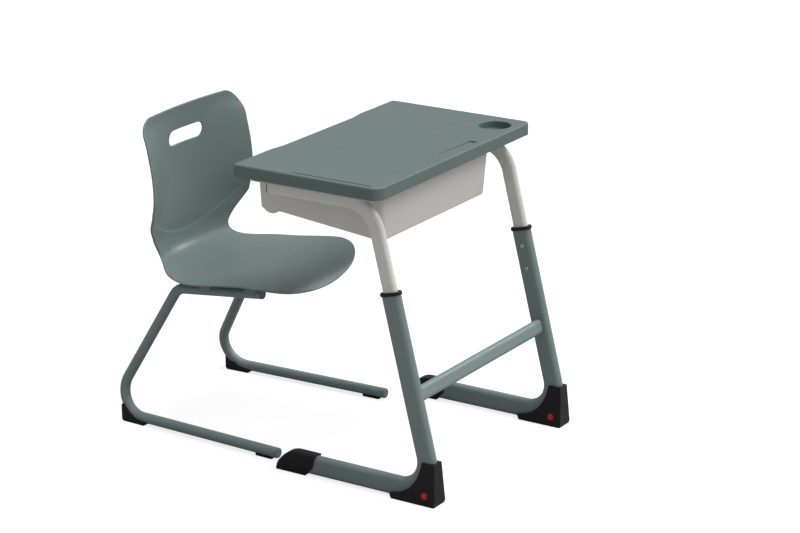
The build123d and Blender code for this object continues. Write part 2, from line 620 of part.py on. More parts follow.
def on_rail(side, y, z):
    """Place on a rail, turned to follow its splay."""
    return Pos(rail_x(side, y), y, z) * Rot(0, 0, degrees(atan2(RAIL_SPLAY, 1.0)) * side)


def rear_shoe(side):
    """Wedge under the bend at the rear of the rail."""
    wedge = prism(Plane.YZ.offset(-14.5), [
        (-40, 8), (-36, 0), (29, 0), (34, 5), (34, 44), (28, 44), (12, 28), (-8, 14),
    ], 29)
    wedge = on_rail(side, 600.0, 0) * wedge
    return largest(wedge - chair_sweep(side, CHAIR_TUBE_R + 0.15))


def front_glide(side):
    glide = Box(19, 50, 10)
    glide = fillet(glide.edges().filter_by(Axis.Z), 4)
    glide = on_rail(side, 190.0, 5) * glide
    return largest(glide - rod((rail_x(side, 100), 100, RAIL_Z), (-side * RAIL_SPLAY, 1, 0),
                               CHAIR_TUBE_R + 0.15, 200))


def tube_plug(start, direction, length, rounding):
    """Rounded cap on a chair tube's end, with a spigot in its bore."""
    cap = rounded_disc(start, direction, CHAIR_TUBE_R, length, rounding)
    return solid(cap + rod(start, direction * -1, CHAIR_BORE_R - 0.15, 14))


def rail_plug(side):
    return tube_plug(Vector(rail_x(side, RAIL_Y_END), RAIL_Y_END, RAIL_Z),
                     Vector(side * RAIL_SPLAY, -1, 0).normalized(), 5.0, 3.4)


def seat_tube_plug(side):
    return tube_plug(Vector(seat_tube_x(side), *SEAT_TUBE_FRONT),
                     Vector(0, -1, -SEAT_SLOPE).normalized(), 3.0, 2.2)


save_pair("chair_frame", chair_frame)
save("seat_tie_rear", seat_tie(424.0))
save("seat_tie_front", seat_tie(290.0))
save_pair("rear_shoe", rear_shoe)
save_pair("front_glide", front_glide)
save("rail_end_plugs", *[rail_plug(side) for side, _ in SIDES])
save("seat_tube_end_plugs", *[seat_tube_plug(side) for side, _ in SIDES])

# =============================================================== seat shell
# Seat mounts: x, y and z on the centre line of the seat tubes
MOUNTS = [(seat_tube_x(side), y, seat_tube_z(y)) for side, _ in SIDES for y in MOUNT_YS]
SEAT_HEAD_RISE = 9.0     # top of the screw head above the tube's centre line


def shell_section(station):
    """Closed outline of the shell across one station."""
    y_mid, z_mid, tangent_y, tangent_z, edge_lift, half_width = station
    length = sqrt(tangent_y * tangent_y + tangent_z * tangent_z)
    normal_y, normal_z = tangent_z / length, -tangent_y / length

    def point(across, lift):
        return Vector(CHAIR_X + across, y_mid + normal_y * lift, z_mid + normal_z * lift)

    top, bottom = [], []
    steps = 8
    for i in range(-steps, steps + 1):
        share = i / steps
        across = half_width * share
        lift = edge_lift * abs(share) ** EDGE_LIFT_POWER
        slope = (edge_lift * EDGE_LIFT_POWER * abs(share) ** (EDGE_LIFT_POWER - 1)
                 / half_width) * (1 if share >= 0 else -1)
        stretch = sqrt(1 + slope * slope)
        top.append(point(across, lift))
        bottom.append(point(across + SHELL_T * slope / stretch, lift - SHELL_T / stretch))
    return Wire([
        Edge.make_spline(top),
        Edge.make_line(top[-1], bottom[-1]),
        Edge.make_spline(list(reversed(bottom))),
        Edge.make_line(bottom[0], top[0]),
    ])


def seat_shell():
    shell = Solid.make_loft([shell_section(station) for station in reversed(SHELL)], ruled=False)
    # round the seat front in plan
    plan = [(CHAIR_X - 300, 262.0)]
    plan += [(CHAIR_X - half, y) for half, y in reversed(FRONT_EDGE)]
    plan += [(CHAIR_X + half, y) for half, y in FRONT_EDGE[1:]]
    plan += [(CHAIR_X + 300, 262.0), (CHAIR_X + 300, 700), (CHAIR_X - 300, 700)]
    shell = shell & prism(Pos(0, 0, 300), plan, 600)
    # round the top corners of the back in the front view
    front_view = extrude(Plane.XZ.offset(-800) * (
        Pos(CHAIR_X, BACK_TOP_Z - 250) * RectangleRounded(BACK_W, 500, BACK_CORNER_R)), 800)
    front_view += extrude(Plane.XZ.offset(-800) * (Pos(CHAIR_X, 440) * Rectangle(600, 500)), 800)
    shell = shell & front_view
    shell -= extrude(Plane.XZ.offset(-700) * (
        Pos(SLOT_X, SLOT_Z) * RectangleRounded(SLOT_W, SLOT_H, SLOT_R)), 250)
    for x, y, z in MOUNTS:
        shell -= Pos(x, y, z + 8) * Cylinder(2.6, 20.2)
    return largest(shell)


def tube_cutter(x, y, radius, reach):
    """Rod along the seat tube, reaching about the same way either side of y."""
    return rod((x, y - reach, seat_tube_z(y - reach)), (0, 1, SEAT_SLOPE), radius, 2 * reach)


def seat_saddle(x, y, z):
    """Spacer between a seat tube and the underside of the shell."""
    block = Pos(x, y, z + 12.5) * Box(27, 36, 25)
    block = fillet(block.edges().filter_by(Axis.Z), 6)
    block -= tube_cutter(x, y, CHAIR_TUBE_R + 0.1, 40)
    block = largest(block) - shell
    block = block.solids().sort_by(Axis.Z)[0] - Pos(x, y, z + 15) * Cylinder(2.7, 40)
    return block.solids().sort_by(Axis.Z)[0]


def seat_washer(x, y, z):
    """Washer inside the tube, between the screw head and the upper wall."""
    washer = Pos(x, y, z + SEAT_HEAD_RISE + 2) * Cylinder(4.3, 4.0)
    washer = washer & tube_cutter(x, y, CHAIR_BORE_R - 0.03, 30)
    return largest(washer - Pos(x, y, z + SEAT_HEAD_RISE) * Cylinder(2.7, 20))


shell = seat_shell()
save("seat_shell", shell)
save("seat_saddles", *[seat_saddle(*mount) for mount in MOUNTS])
# each screw's head sits inside the tube, under its upper wall
save("seat_screws", *[screw((x, y, z + SEAT_HEAD_RISE), (0, 0, 1), SEAT_SCREW)
                      for x, y, z in MOUNTS])
save("seat_saddle_washers", *[seat_washer(*mount) for mount in MOUNTS])
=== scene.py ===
"""A chair: carried-over CAD parts given painted, plastic and steel finishes, and a new seat shell.

The shell is modelled in millimetres. X runs across the chair, the seat's front edge faces -Y,
the back rises towards +Z at the +Y end. The finished mesh is moved along Y and scaled to metres.
"""
import json
import math
import random

import bmesh
import bpy
import numpy as np
from mathutils import Matrix, Vector


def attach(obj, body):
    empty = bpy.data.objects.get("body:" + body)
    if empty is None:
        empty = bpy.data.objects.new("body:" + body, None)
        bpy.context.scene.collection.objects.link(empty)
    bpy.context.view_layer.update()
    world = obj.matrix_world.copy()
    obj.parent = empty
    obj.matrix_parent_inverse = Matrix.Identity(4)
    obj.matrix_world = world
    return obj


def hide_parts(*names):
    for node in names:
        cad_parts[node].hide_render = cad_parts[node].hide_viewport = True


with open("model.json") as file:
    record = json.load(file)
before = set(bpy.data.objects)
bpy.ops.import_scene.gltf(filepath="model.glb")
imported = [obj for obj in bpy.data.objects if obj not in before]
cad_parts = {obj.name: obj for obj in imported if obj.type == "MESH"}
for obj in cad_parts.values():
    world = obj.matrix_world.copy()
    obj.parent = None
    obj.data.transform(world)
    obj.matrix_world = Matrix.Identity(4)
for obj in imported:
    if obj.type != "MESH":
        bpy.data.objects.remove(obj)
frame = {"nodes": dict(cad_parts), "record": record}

random.seed(7)
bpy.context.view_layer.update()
MM = 0.001
Y_SHIFT = -161.4        # from the shell's own Y to the scene's, mm


# ------------------------------------------------------------------ shader graphs
class Graph:
    """A node tree, emptied, with short ways to add the nodes used here."""

    def __init__(self, tree):
        self.tree = tree
        tree.nodes.clear()

    def add(self, kind, inputs=None, **settings):
        """Add a node; each input is given either a value or the socket that feeds it."""
        node = self.tree.nodes.new(kind)
        for key, value in settings.items():
            setattr(node, key, value)
        for key, value in (inputs or {}).items():
            if isinstance(value, bpy.types.NodeSocket):
                self.tree.links.new(value, node.inputs[key])
            else:
                node.inputs[key].default_value = value
        return node

    def maths(self, operation, a, b, clamp=False):
        node = self.add("ShaderNodeMath", {0: a, 1: b}, operation=operation, use_clamp=clamp)
        return node.outputs[0]

    def noise(self, vector, scale, detail=2.0, rough=0.5):
        inputs = {"Scale": scale, "Detail": detail, "Roughness": rough, "Vector": vector}
        return self.add("ShaderNodeTexNoise", inputs).outputs["Fac"]

    def ramp(self, value, from_min, from_max, to_min=0.0, to_max=1.0):
        """Smooth step from one range to another."""
        inputs = {"From Min": from_min, "From Max": from_max,
                  "To Min": to_min, "To Max": to_max, "Value": value}
        node = self.add("ShaderNodeMapRange", inputs, interpolation_type="SMOOTHSTEP")
        return node.outputs["Result"]

    def mix(self, factor, a, b):
        """Mix two colours, each an RGB tuple or a socket."""
        a, b = ((*c, 1.0) if isinstance(c, tuple) else c for c in (a, b))
        node = self.add("ShaderNodeMix", {0: factor, 6: a, 7: b}, data_type="RGBA")
        return node.outputs[2]


def new_material(name):
    material = bpy.data.materials.new(name)
    material.use_nodes = True
    return material, Graph(material.node_tree)


def shade(colour, factor, lift=0.0):
    return tuple(min(1.0, c * factor + lift) for c in colour)


# ------------------------------------------------------------------ layers of a finish
def drifting_colour(g, vector, mid, base, tint, fleck):
    """Base colour that drifts over the piece, with optional light and dark flecks."""
    big = g.noise(vector, scale=5.0, detail=3.0, rough=0.55)
    colour = g.mix(g.ramp(big, 0.32, 0.68), shade(base, 1 - tint), shade(base, 1 + tint))
    colour = g.mix(g.ramp(mid, 0.35, 0.75, 0.0, 0.35), colour, shade(base, 1 - 1.4 * tint))
    if fleck > 0:
        fine = g.noise(vector, scale=900.0, rough=0.6)
        colour = g.mix(g.ramp(fine, 0.60, 0.72, 0.0, fleck), colour, shade(base, 1.5, 0.02))
        colour = g.mix(g.ramp(fine, 0.40, 0.28, 0.0, fleck), colour, shade(base, 0.6))
    return colour


def edge_wear(g, vector, wear):
    """Broken mask along edges, found where a rounded normal leaves the true one."""
    true_normal = g.add("ShaderNodeNewGeometry").outputs["Normal"]
    rounded = g.add("ShaderNodeBevel", {"Radius": 0.0014}, samples=4).outputs[0]
    dot = g.add("ShaderNodeVectorMath", {0: rounded, 1: true_normal}, operation="DOT_PRODUCT")
    edge = g.maths("SUBTRACT", 1.0, dot.outputs["Value"], clamp=True)
    edge = g.ramp(edge, 0.02, 0.22)
    broken = g.ramp(g.noise(vector, scale=130.0, detail=4.0, rough=0.65), 0.42, 0.66)
    return g.maths("MULTIPLY", g.maths("MULTIPLY", edge, broken), wear)


def scratch_lines(g, vector):
    """Two crossing families of thin lines, cut from strongly stretched noise."""
    families = (        # noise stretch, turn about Z, thresholds where a line starts and is full
        ((9.0, 260.0, 120.0), 0.5, 0.66, 0.72),
        ((280.0, 8.0, 120.0), 0.22, 0.67, 0.73),
    )
    lines = []
    for stretch, turn, start, full in families:
        mapping = g.add("ShaderNodeMapping", {"Scale": stretch, "Rotation": (0.0, 0.0, turn),
                                              "Vector": vector})
        streaks = g.noise(mapping.outputs[0], scale=1.0, detail=4.0, rough=0.6)
        lines.append(g.ramp(streaks, start, full))
    return g.maths("MAXIMUM", *lines)


def painted_hollow_shade(g, mid, hollow_shade):
    """Patchy mask of painted shade in the hollows, found by ambient occlusion."""
    occlusion = g.add("ShaderNodeAmbientOcclusion", {"Distance": 0.012}, samples=4)
    hollow = g.maths("SUBTRACT", 1.0, occlusion.outputs["AO"], clamp=True)
    patchy = g.maths("MULTIPLY", g.ramp(hollow, 0.35, 0.95), g.ramp(mid, 0.35, 0.62))
    return g.maths("MULTIPLY", patchy, hollow_shade)


def surface_normal(g, vector, bevel, grain, wave):
    """Rounded edges, then a slow wave, then fine grain."""
    normal = g.add("ShaderNodeBevel", {"Radius": bevel}, samples=4).outputs[0]
    layers = (          # (scale, strength), noise detail, noise roughness, bump distance
        (wave, 3.0, 0.5, 0.0015),
        (grain, 2.0, 0.6, 0.0003),
    )
    for (scale, strength), detail, rough, distance in layers:
        height = g.noise(vector, scale, detail, rough)
        normal = g.add("ShaderNodeBump", {"Strength": strength, "Distance": distance,
                                          "Height": height, "Normal": normal}).outputs[0]
    return normal


def finish(name, base, rough, metal=0.0, grain=(1400.0, 0.10), wave=(90.0, 0.05), tint=0.06,
           wear=0.35, wear_col=None, hollow_shade=0.0, scratch=0.0, coat=0.0, coat_rough=0.2,
           bevel=0.0006, spec=0.5, anis=0.0, fleck=0.0, rough_var=0.10):
    """One procedural finish.

    grain and wave are the (scale, strength) of the fine and slow bumps; tint is the colour drift;
    wear, the painted shade in hollows, scratch and fleck are amounts from 0 to 1; wear_col is the
    colour of rubbed edges; bevel is the radius edges are shaded with, in metres; rough_var is the
    spread of roughness.
    """
    material, g = new_material(name)
    vector = g.add("ShaderNodeTexCoord").outputs["Object"]
    mid = g.noise(vector, scale=46.0, detail=3.0, rough=0.6)
    worn = wear_col or shade(base, 1.6, 0.03)

    colour = drifting_colour(g, vector, mid, base, tint, fleck)
    colour = g.mix(edge_wear(g, vector, wear), colour, worn)

    roughness = g.ramp(mid, 0.3, 0.7, rough - rough_var / 2, rough + rough_var / 2)
    roughness = g.maths("ADD", roughness, 0.0)
    smear = g.noise(vector, scale=14.0, detail=5.0, rough=0.7)
    roughness = g.maths("ADD", roughness, g.ramp(smear, 0.5, 0.72, 0.0, rough_var * 0.8))

    if scratch > 0:
        line = scratch_lines(g, vector)
        roughness = g.maths("ADD", roughness, g.maths("MULTIPLY", line, scratch))
        colour = g.mix(g.maths("MULTIPLY", line, scratch * 0.5), colour, worn)
    if hollow_shade > 0:
        # painted shade: the colour darkens towards 0.62 of the base in hollows found by ambient
        # occlusion
        colour = g.mix(painted_hollow_shade(g, mid, hollow_shade), colour, shade(base, 0.62, 0.012))

    shader = g.add("ShaderNodeBsdfPrincipled", {
        "Base Color": colour,
        "Roughness": roughness,
        "Metallic": metal,
        "Specular IOR Level": spec,
        "Coat Weight": coat,
        "Coat Roughness": coat_rough,
        "Anisotropic": anis,
        "Normal": surface_normal(g, vector, bevel, grain, wave),
    })
    g.add("ShaderNodeOutputMaterial", {0: shader.outputs[0]})
    material.diffuse_color = (*base, 1.0)
    return material


# Each finish's amount for its hollows darkens them with painted shade.
FINISHES = {
    # painted shade: this base is set about a quarter darker than the shell's teal so that the desk
    # top, lit more strongly from above, comes out no brighter
    "teal_plastic": dict(
        base=(0.112, 0.150, 0.146), rough=0.50, grain=(1500, 0.20), wave=(60, 0.006), tint=0.012,
        wear=0.22, scratch=0.025, hollow_shade=0.30, fleck=0.06, bevel=0.0014, spec=0.35, rough_var=0.05),
    "teal_shell": dict(
        base=(0.150, 0.200, 0.194), rough=0.33, grain=(1300, 0.10), wave=(24, 0.012), tint=0.018,
        wear=0.20, scratch=0.03, hollow_shade=0.2, fleck=0.04, bevel=0.0008, spec=0.40, rough_var=0.05),
    "teal_plug": dict(
        base=(0.130, 0.172, 0.167), rough=0.45, grain=(1500, 0.15), tint=0.03, wear=0.2,
        spec=0.35),
    "teal_paint": dict(
        base=(0.172, 0.228, 0.223), rough=0.42, grain=(1100, 0.16), wave=(520, 0.08), tint=0.025,
        wear=0.30, wear_col=(0.27, 0.32, 0.31), hollow_shade=0.25, fleck=0.07, coat=0.08,
        coat_rough=0.35, bevel=0.0006, spec=0.4, rough_var=0.07),
    "white_paint": dict(
        base=(0.66, 0.655, 0.615), rough=0.40, grain=(1100, 0.14), wave=(520, 0.08), tint=0.018,
        wear=0.28, wear_col=(0.52, 0.51, 0.47), hollow_shade=0.35, fleck=0.04, coat=0.10,
        coat_rough=0.3, bevel=0.0006, spec=0.4),
    "white_plastic": dict(
        base=(0.62, 0.61, 0.575), rough=0.45, grain=(1500, 0.16), wave=(40, 0.012), tint=0.015,
        wear=0.18, hollow_shade=0.4, scratch=0.04, bevel=0.001, spec=0.35, rough_var=0.06),
    "black_plastic": dict(
        base=(0.0062, 0.0062, 0.0064), rough=0.44, grain=(1600, 0.25), wave=(80, 0.03), tint=0.15,
        wear=0.30, wear_col=(0.035, 0.035, 0.036), hollow_shade=0.4, fleck=0.2, bevel=0.0009, spec=0.28),
    "red_plastic": dict(
        base=(0.56, 0.010, 0.010), rough=0.36, grain=(1600, 0.08), tint=0.03, wear=0.05,
        wear_col=(0.60, 0.05, 0.04), coat=0.1, bevel=0.0004, spec=0.3),
    "steel": dict(
        base=(0.42, 0.41, 0.40), rough=0.24, metal=1.0, grain=(1800, 0.12), tint=0.12, wear=0.3,
        scratch=0.2, hollow_shade=0.3, anis=0.4, bevel=0.0004),
}
MATERIALS = {name: finish(name, **look) for name, look in FINISHES.items()}

# ------------------------------------------------------------------ carried-over parts
slot_of = {part["node"]: part["material_slot"] for part in frame["record"]["subparts"]}
for name, ob in frame["nodes"].items():
    ob.data.materials.clear()
    ob.data.materials.append(MATERIALS[slot_of[name]])

# ------------------------------------------------------------------ seat shell: dimensions, mm
CENTRE_X = -24.0        # the chair's centre plane
THICKNESS = 5.0
HALF_T = THICKNESS / 2
INSET = HALF_T * 0.96   # the skins stop this far inside the outline, leaving room for the round edge
FLARE_POWER = 2.1       # how late the surface curves up towards its sides

# Stations down the centre line, from the top of the back to the front of the seat:
# y, z, direction of travel in y and in z, rise of the side edge, half width
STATIONS = np.array([
    (572.0, 781.9, 0.220, -0.975, 11.5, 202.7), (575.4, 763.6, 0.160, -0.987, 17.0, 203.2),
    (578.1, 744.8, 0.135, -0.991, 26.0, 203.5), (580.6, 725.8, 0.120, -0.993, 36.0, 203.8),
    (584.3, 691.0, 0.095, -0.996, 48.1, 204.6), (587.5, 660.5, 0.090, -0.996, 58.7, 205.8),
    (590.3, 630.1, 0.085, -0.996, 67.0, 207.5), (592.8, 599.6, 0.080, -0.997, 72.2, 208.5),
    (595.2, 569.1, 0.070, -0.998, 73.5, 209.2), (597.0, 538.6, 0.052, -0.999, 68.4, 209.3),
    (598.4, 508.1, 0.025, -1.000, 56.5, 200.0), (598.6, 477.8, -0.020, -1.000, 43.2, 177.5),
    (597.4, 447.6, -0.170, -0.985, 33.0, 157.5), (586.2, 417.2, -0.610, -0.792, 26.0, 145.5),
    (560.6, 397.6, -0.895, -0.446, 18.0, 149.5), (530.0, 389.9, -0.984, -0.178, 12.4, 173.0),
    (499.6, 387.4, -0.999, -0.045, 11.6, 197.5), (469.4, 387.6, -1.000, 0.030, 11.2, 215.0),
    (438.8, 388.9, -0.997, 0.073, 10.0, 226.5), (408.5, 391.6, -0.994, 0.105, 9.0, 232.5),
    (378.1, 395.3, -0.991, 0.132, 9.3, 234.0), (347.8, 399.3, -0.991, 0.135, 9.9, 234.0),
    (317.5, 403.4, -0.991, 0.132, 10.4, 233.5), (287.1, 407.1, -0.994, 0.110, 10.4, 231.5),
    (259.1, 409.8, -0.998, 0.065, 9.2, 228.0), (236.8, 410.2, -0.997, -0.075, 7.2, 226.5),
    (215.0, 406.6, -0.960, -0.280, 5.4, 225.7), (195.0, 398.6, -0.880, -0.475, 4.0, 225.2),
    (177.3, 387.2, -0.790, -0.613, 3.0, 225.0), (161.6, 373.9, -0.720, -0.694, 2.4, 225.0),
])
LAST = len(STATIONS) - 1.0

# Front edge in plan: distance from the centre plane, y
FRONT_EDGE = np.array([
    (0, 162.0), (22, 162.4), (40, 163.4), (61, 165.2), (83, 168), (106, 171.5), (132, 177.5),
    (153, 184.5), (174, 194.5), (187, 203), (204, 218), (216, 236), (226, 262),
])

# Top edge of the back
TOP_Z = 782.3
TOP_HALF_W = 203.5
CORNER_R = (52.0, 68.0)     # at the -X and the +X corner
CORNER_END = 12             # the corners are looked for above this station

# Rounded slot through the back, and the half size of the grid block cut away around it
SLOT_X, SLOT_Z = CENTRE_X - 3.0, 700.0
SLOT_W, SLOT_H, SLOT_R = 137.0, 38.0, 18.6
BLOCK_HALF_W, BLOCK_HALF_H = 98.0, 44.0

# Mesh density
COLUMNS = 128
BACK_ROWS, FRONT_ROWS = 300, 96
SPLIT = 20.0                # station where the back rows hand over to the front rows
SLOT_RINGS = 10
EDGE_STEPS = 7


# ------------------------------------------------------------------ seat shell: surface
def spline_bends(knots):
    """Second derivatives of natural cubics through evenly numbered rows, column by column."""
    n = len(knots)
    system = np.zeros((n, n))
    right = np.zeros_like(knots)
    system[0, 0] = system[-1, -1] = 1.0
    for i in range(1, n - 1):
        system[i, i - 1:i + 2] = 1.0, 4.0, 1.0
        right[i] = 6 * (knots[i + 1] - 2 * knots[i] + knots[i - 1])
    return np.linalg.solve(system, right)


BENDS = spline_bends(STATIONS)


def station(s):
    """The six station values at a fractional station number."""
    s = np.clip(np.asarray(s, float), 0.0, LAST)
    i = np.minimum(s.astype(int), len(STATIONS) - 2)
    t = (s - i)[..., None]
    line = STATIONS[i] * (1 - t) + STATIONS[i + 1] * t
    return line + ((1 - t) ** 3 - (1 - t)) * BENDS[i] / 6 + (t ** 3 - t) * BENDS[i + 1] / 6


def inner_half_width(s):
    return station(s)[..., 5] - INSET


def surface(s, x):
    """Point of the sitting surface at station s, x from the chair's centre plane."""
    q = station(s)
    y, z, dir_y, dir_z, rise, half_w = (q[..., k] for k in range(6))
    length = np.hypot(dir_y, dir_z)
    dir_y, dir_z = dir_y / length, dir_z / length
    lift = rise * np.abs(x / half_w) ** FLARE_POWER
    return np.stack([x + CENTRE_X + 0 * y, y + dir_z * lift, z - dir_y * lift], axis=-1)


def normal_at(s, x):
    """Unit normal on the sitter's side."""
    ds, dx = 0.02, 0.4
    along = surface(np.clip(s + ds, 0, LAST), x) - surface(np.clip(s - ds, 0, LAST), x)
    across = surface(s, x + dx) - surface(s, x - dx)
    normal = np.cross(across, along)
    normal /= np.linalg.norm(normal, axis=-1, keepdims=True)
    q = station(s)
    sitter = np.stack([0 * x, q[..., 3], -q[..., 2]], axis=-1)
    flip = np.sign((normal * sitter).sum(-1, keepdims=True))
    return normal * np.where(flip == 0, 1, flip)


def panel_step(s, x):
    """Offset along the normal that sets the back panel 1.5 mm away from the sitter.

    The panel's lower edge is one long upturned curve, and the step fades out above it."""
    q = station(s)
    z = q[..., 1] - q[..., 2] * q[..., 4] * np.abs(x / q[..., 5]) ** FLARE_POWER
    out = np.clip(np.abs(x - 4) / 205.0, 0, 1.2)
    above = z - (449.0 + 95.0 * out ** 2.0)
    t = np.clip(above / 5.5 + 0.5, 0, 1)
    on_back = np.clip((12.6 - s) / 0.8, 0, 1)
    return -1.5 * t * t * (3 - 2 * t) * on_back * np.clip(1 - above / 170.0, 0, 1)


def skin(s, x):
    """Points and normals of the top skin, panel step included in the points."""
    normal = normal_at(s, x)
    return surface(s, x) + normal * panel_step(s, x)[..., None], normal


def bisect(fn, lo, hi, steps=40):
    """Where fn, positive at lo, turns negative."""
    lo, hi = np.array(lo, float), np.array(hi, float)
    for _ in range(steps):
        mid = (lo + hi) / 2
        positive = fn(mid) > 0
        lo = np.where(positive, mid, lo)
        hi = np.where(positive, hi, mid)
    return (lo + hi) / 2


# ------------------------------------------------------------------ seat shell: grid
def back_half_width(s, corner_r):
    """Half width of a back row, narrowed by the rounded top corner."""
    widest = inner_half_width(s)
    if s >= CORNER_END:
        return widest
    radius = corner_r - INSET
    half_w = widest
    for _ in range(4):      # the row's height at its end depends on its width
        into_corner = surface(s, half_w)[2] - (TOP_Z - INSET - radius)
        limit = TOP_HALF_W - INSET
        if into_corner > 0:
            limit += math.sqrt(max(0.0, radius ** 2 - min(into_corner, radius) ** 2)) - radius
        half_w = min(widest, limit)
    return half_w


def shell_grid():
    """Station number and x of every grid point, rows from the top edge to the front edge."""
    t = np.linspace(-1, 1, COLUMNS + 1)
    u = 0.80 * t + 0.20 * np.sin(t * math.pi / 2) + 0.05 * np.sin(math.pi * t)
    u = np.clip(u / u[-1], -1, 1)
    s_grid = np.zeros((BACK_ROWS + FRONT_ROWS + 1, COLUMNS + 1))
    x_grid = np.zeros_like(s_grid)

    s_top = bisect(lambda s: surface(s, np.zeros_like(s))[..., 2] - (TOP_Z - INSET),
                   [0.0], [3.0])[0]
    r = np.linspace(0, 1, BACK_ROWS + 1)
    for i, s in enumerate(s_top + (SPLIT - s_top) * (0.86 * r + 0.14 * r ** 3)):
        minus_x, plus_x = (back_half_width(s, radius) for radius in CORNER_R)
        s_grid[i] = s
        x_grid[i] = np.where(u <= 0, minus_x, plus_x) * u

    def behind_front_edge(s):
        x = inner_half_width(s) * u
        return surface(s, x)[..., 1] - (np.interp(np.abs(x), *FRONT_EDGE.T) + INSET)

    s_end = bisect(behind_front_edge, np.full(COLUMNS + 1, SPLIT + 1.0),
                   np.full(COLUMNS + 1, LAST), steps=50)
    q = 1 - (1 - np.arange(1, FRONT_ROWS + 1) / FRONT_ROWS) ** 1.25
    s_front = SPLIT + (s_end - SPLIT) * q[:, None]
    s_grid[BACK_ROWS + 1:] = s_front
    x_grid[BACK_ROWS + 1:] = inner_half_width(s_front) * u
    return s_grid, x_grid


def border(block):
    """The outermost entries of a 2D array, once round."""
    return np.concatenate([block[0, :-1], block[:-1, -1], block[-1, :0:-1], block[:0:-1, 0]])


def nearest(values, target):
    return int(np.argmin(np.abs(values - target)))


# ------------------------------------------------------------------ seat shell: slot
def onto_slot(dx, dz):
    """Where rays (dx, dz) from the slot's middle meet its rounded outline."""
    radius = SLOT_R + INSET
    flat_x, flat_z = SLOT_W / 2 + INSET - radius, SLOT_H / 2 + INSET - radius

    def inside(m):
        return radius - np.hypot(np.maximum(np.abs(dx * m) - flat_x, 0),
                                 np.maximum(np.abs(dz * m) - flat_z, 0))

    m = bisect(inside, np.zeros(len(dx)), np.full(len(dx), 2.0), steps=50)
    return np.stack([dx * m, dz * m], axis=1)


def slot_points(dx, dz):
    """Slot outline in step with the ring (dx, dz), partly evened out by arc length."""
    outline = onto_slot(dx, dz)
    closed = np.vstack([outline, outline[:1]])
    arc = np.concatenate([[0], np.cumsum(np.hypot(*np.diff(closed, axis=0).T))])
    even = np.linspace(0, arc[-1], len(arc))[:-1]
    target = 0.45 * arc[:-1] + 0.55 * even
    return onto_slot(*(np.interp(target, arc, closed[:, k]) for k in (0, 1)))


def top_skin():
    """Points, normals and faces of the top skin, and its outer and slot loops."""
    points, normals = skin(*shell_grid())
    ids = np.arange(points.shape[0] * points.shape[1]).reshape(points.shape[:2])

    centre_z = points[:BACK_ROWS, COLUMNS // 2, 2]
    i0 = nearest(centre_z, SLOT_Z + BLOCK_HALF_H)
    i1 = nearest(centre_z, SLOT_Z - BLOCK_HALF_H)
    from_slot = points[(i0 + i1) // 2, :, 0] - SLOT_X
    j0, j1 = nearest(from_slot, -BLOCK_HALF_W), nearest(from_slot, BLOCK_HALF_W)
    cells = np.stack([ids[:-1, :-1], ids[:-1, 1:], ids[1:, 1:], ids[1:, :-1]], axis=-1)
    kept = np.ones(cells.shape[:2], bool)
    kept[i0:i1, j0:j1] = False
    faces = [cells[kept]]
    points, normals = [points.reshape(-1, 3)], [normals.reshape(-1, 3)]

    # rings that close in from the cut block to the slot
    ring = border(ids[i0:i1 + 1, j0:j1 + 1])
    size = len(ring)
    dx, dz = points[0][ring, 0] - SLOT_X, points[0][ring, 2] - SLOT_Z
    slot = slot_points(dx, dz)
    for k in range(SLOT_RINGS):
        f = 1 - (1 - (k + 1) / SLOT_RINGS) ** 1.35
        x = dx * (1 - f) + slot[:, 0] * f + SLOT_X - CENTRE_X
        z = dz * (1 - f) + slot[:, 1] * f + SLOT_Z
        s = bisect(lambda q: surface(q, x)[..., 2] - z, np.full(size, 0.5), np.full(size, 9.0))
        for found, store in zip(skin(s, x), (points, normals)):
            store.append(found)
        inner = ids.size + k * size + np.arange(size)
        faces.append(np.stack([ring, np.roll(ring, -1), np.roll(inner, -1), inner], axis=1))
        ring = inner

    # drop the points inside the cut block
    faces = np.concatenate(faces)
    used = np.unique(faces)
    loops = [np.searchsorted(used, loop) for loop in (border(ids), ring)]
    points, normals = np.concatenate(points)[used], np.concatenate(normals)[used]
    return points, normals, np.searchsorted(used, faces), loops


# ------------------------------------------------------------------ seat shell: solid
def unit(vectors):
    return vectors / np.linalg.norm(vectors, axis=1, keepdims=True)


def outward(top, normals, loop, inward):
    """Directions out of the skin along a loop, smoothed a little."""
    tangent = unit(np.roll(top[loop], -1, 0) - np.roll(top[loop], 1, 0))
    out = unit(np.cross(tangent, normals[loop]))
    wrong = (out * inward[loop]).sum(1, keepdims=True) > 0
    out = np.where(wrong, -out, out)
    for _ in range(2):
        out = (np.roll(out, 1, 0) + 2 * out + np.roll(out, -1, 0)) / 4
    return unit(out)


def shell_solid():
    """Both skins, joined by a half-round edge along the outside and the slot."""
    top, normals, skin_faces, loops = top_skin()
    n = len(top)
    verts = [top, top - normals * THICKNESS]
    faces = [skin_faces, n + skin_faces[:, ::-1]]
    count = 2 * n

    # from each point towards the middle of the faces around it
    centres = np.zeros_like(top)
    np.add.at(centres, skin_faces, top[skin_faces].mean(1)[:, None, :])
    inward = centres / np.bincount(skin_faces.ravel())[:, None] - top

    for loop in loops:
        out = outward(top, normals, loop, inward)
        up = normals[loop]
        middle = top[loop] - up * HALF_T
        ring = loop
        for step in range(1, EDGE_STEPS + 1):
            if step < EDGE_STEPS:
                angle = math.pi * step / EDGE_STEPS
                verts.append(middle + HALF_T * (up * math.cos(angle) + out * math.sin(angle)))
                following = count + np.arange(len(loop))
                count += len(loop)
            else:
                following = n + loop
            faces.append(np.stack([ring, following, np.roll(following, -1), np.roll(ring, -1)],
                                  axis=1))
            ring = following
    return np.concatenate(verts), np.concatenate(faces)


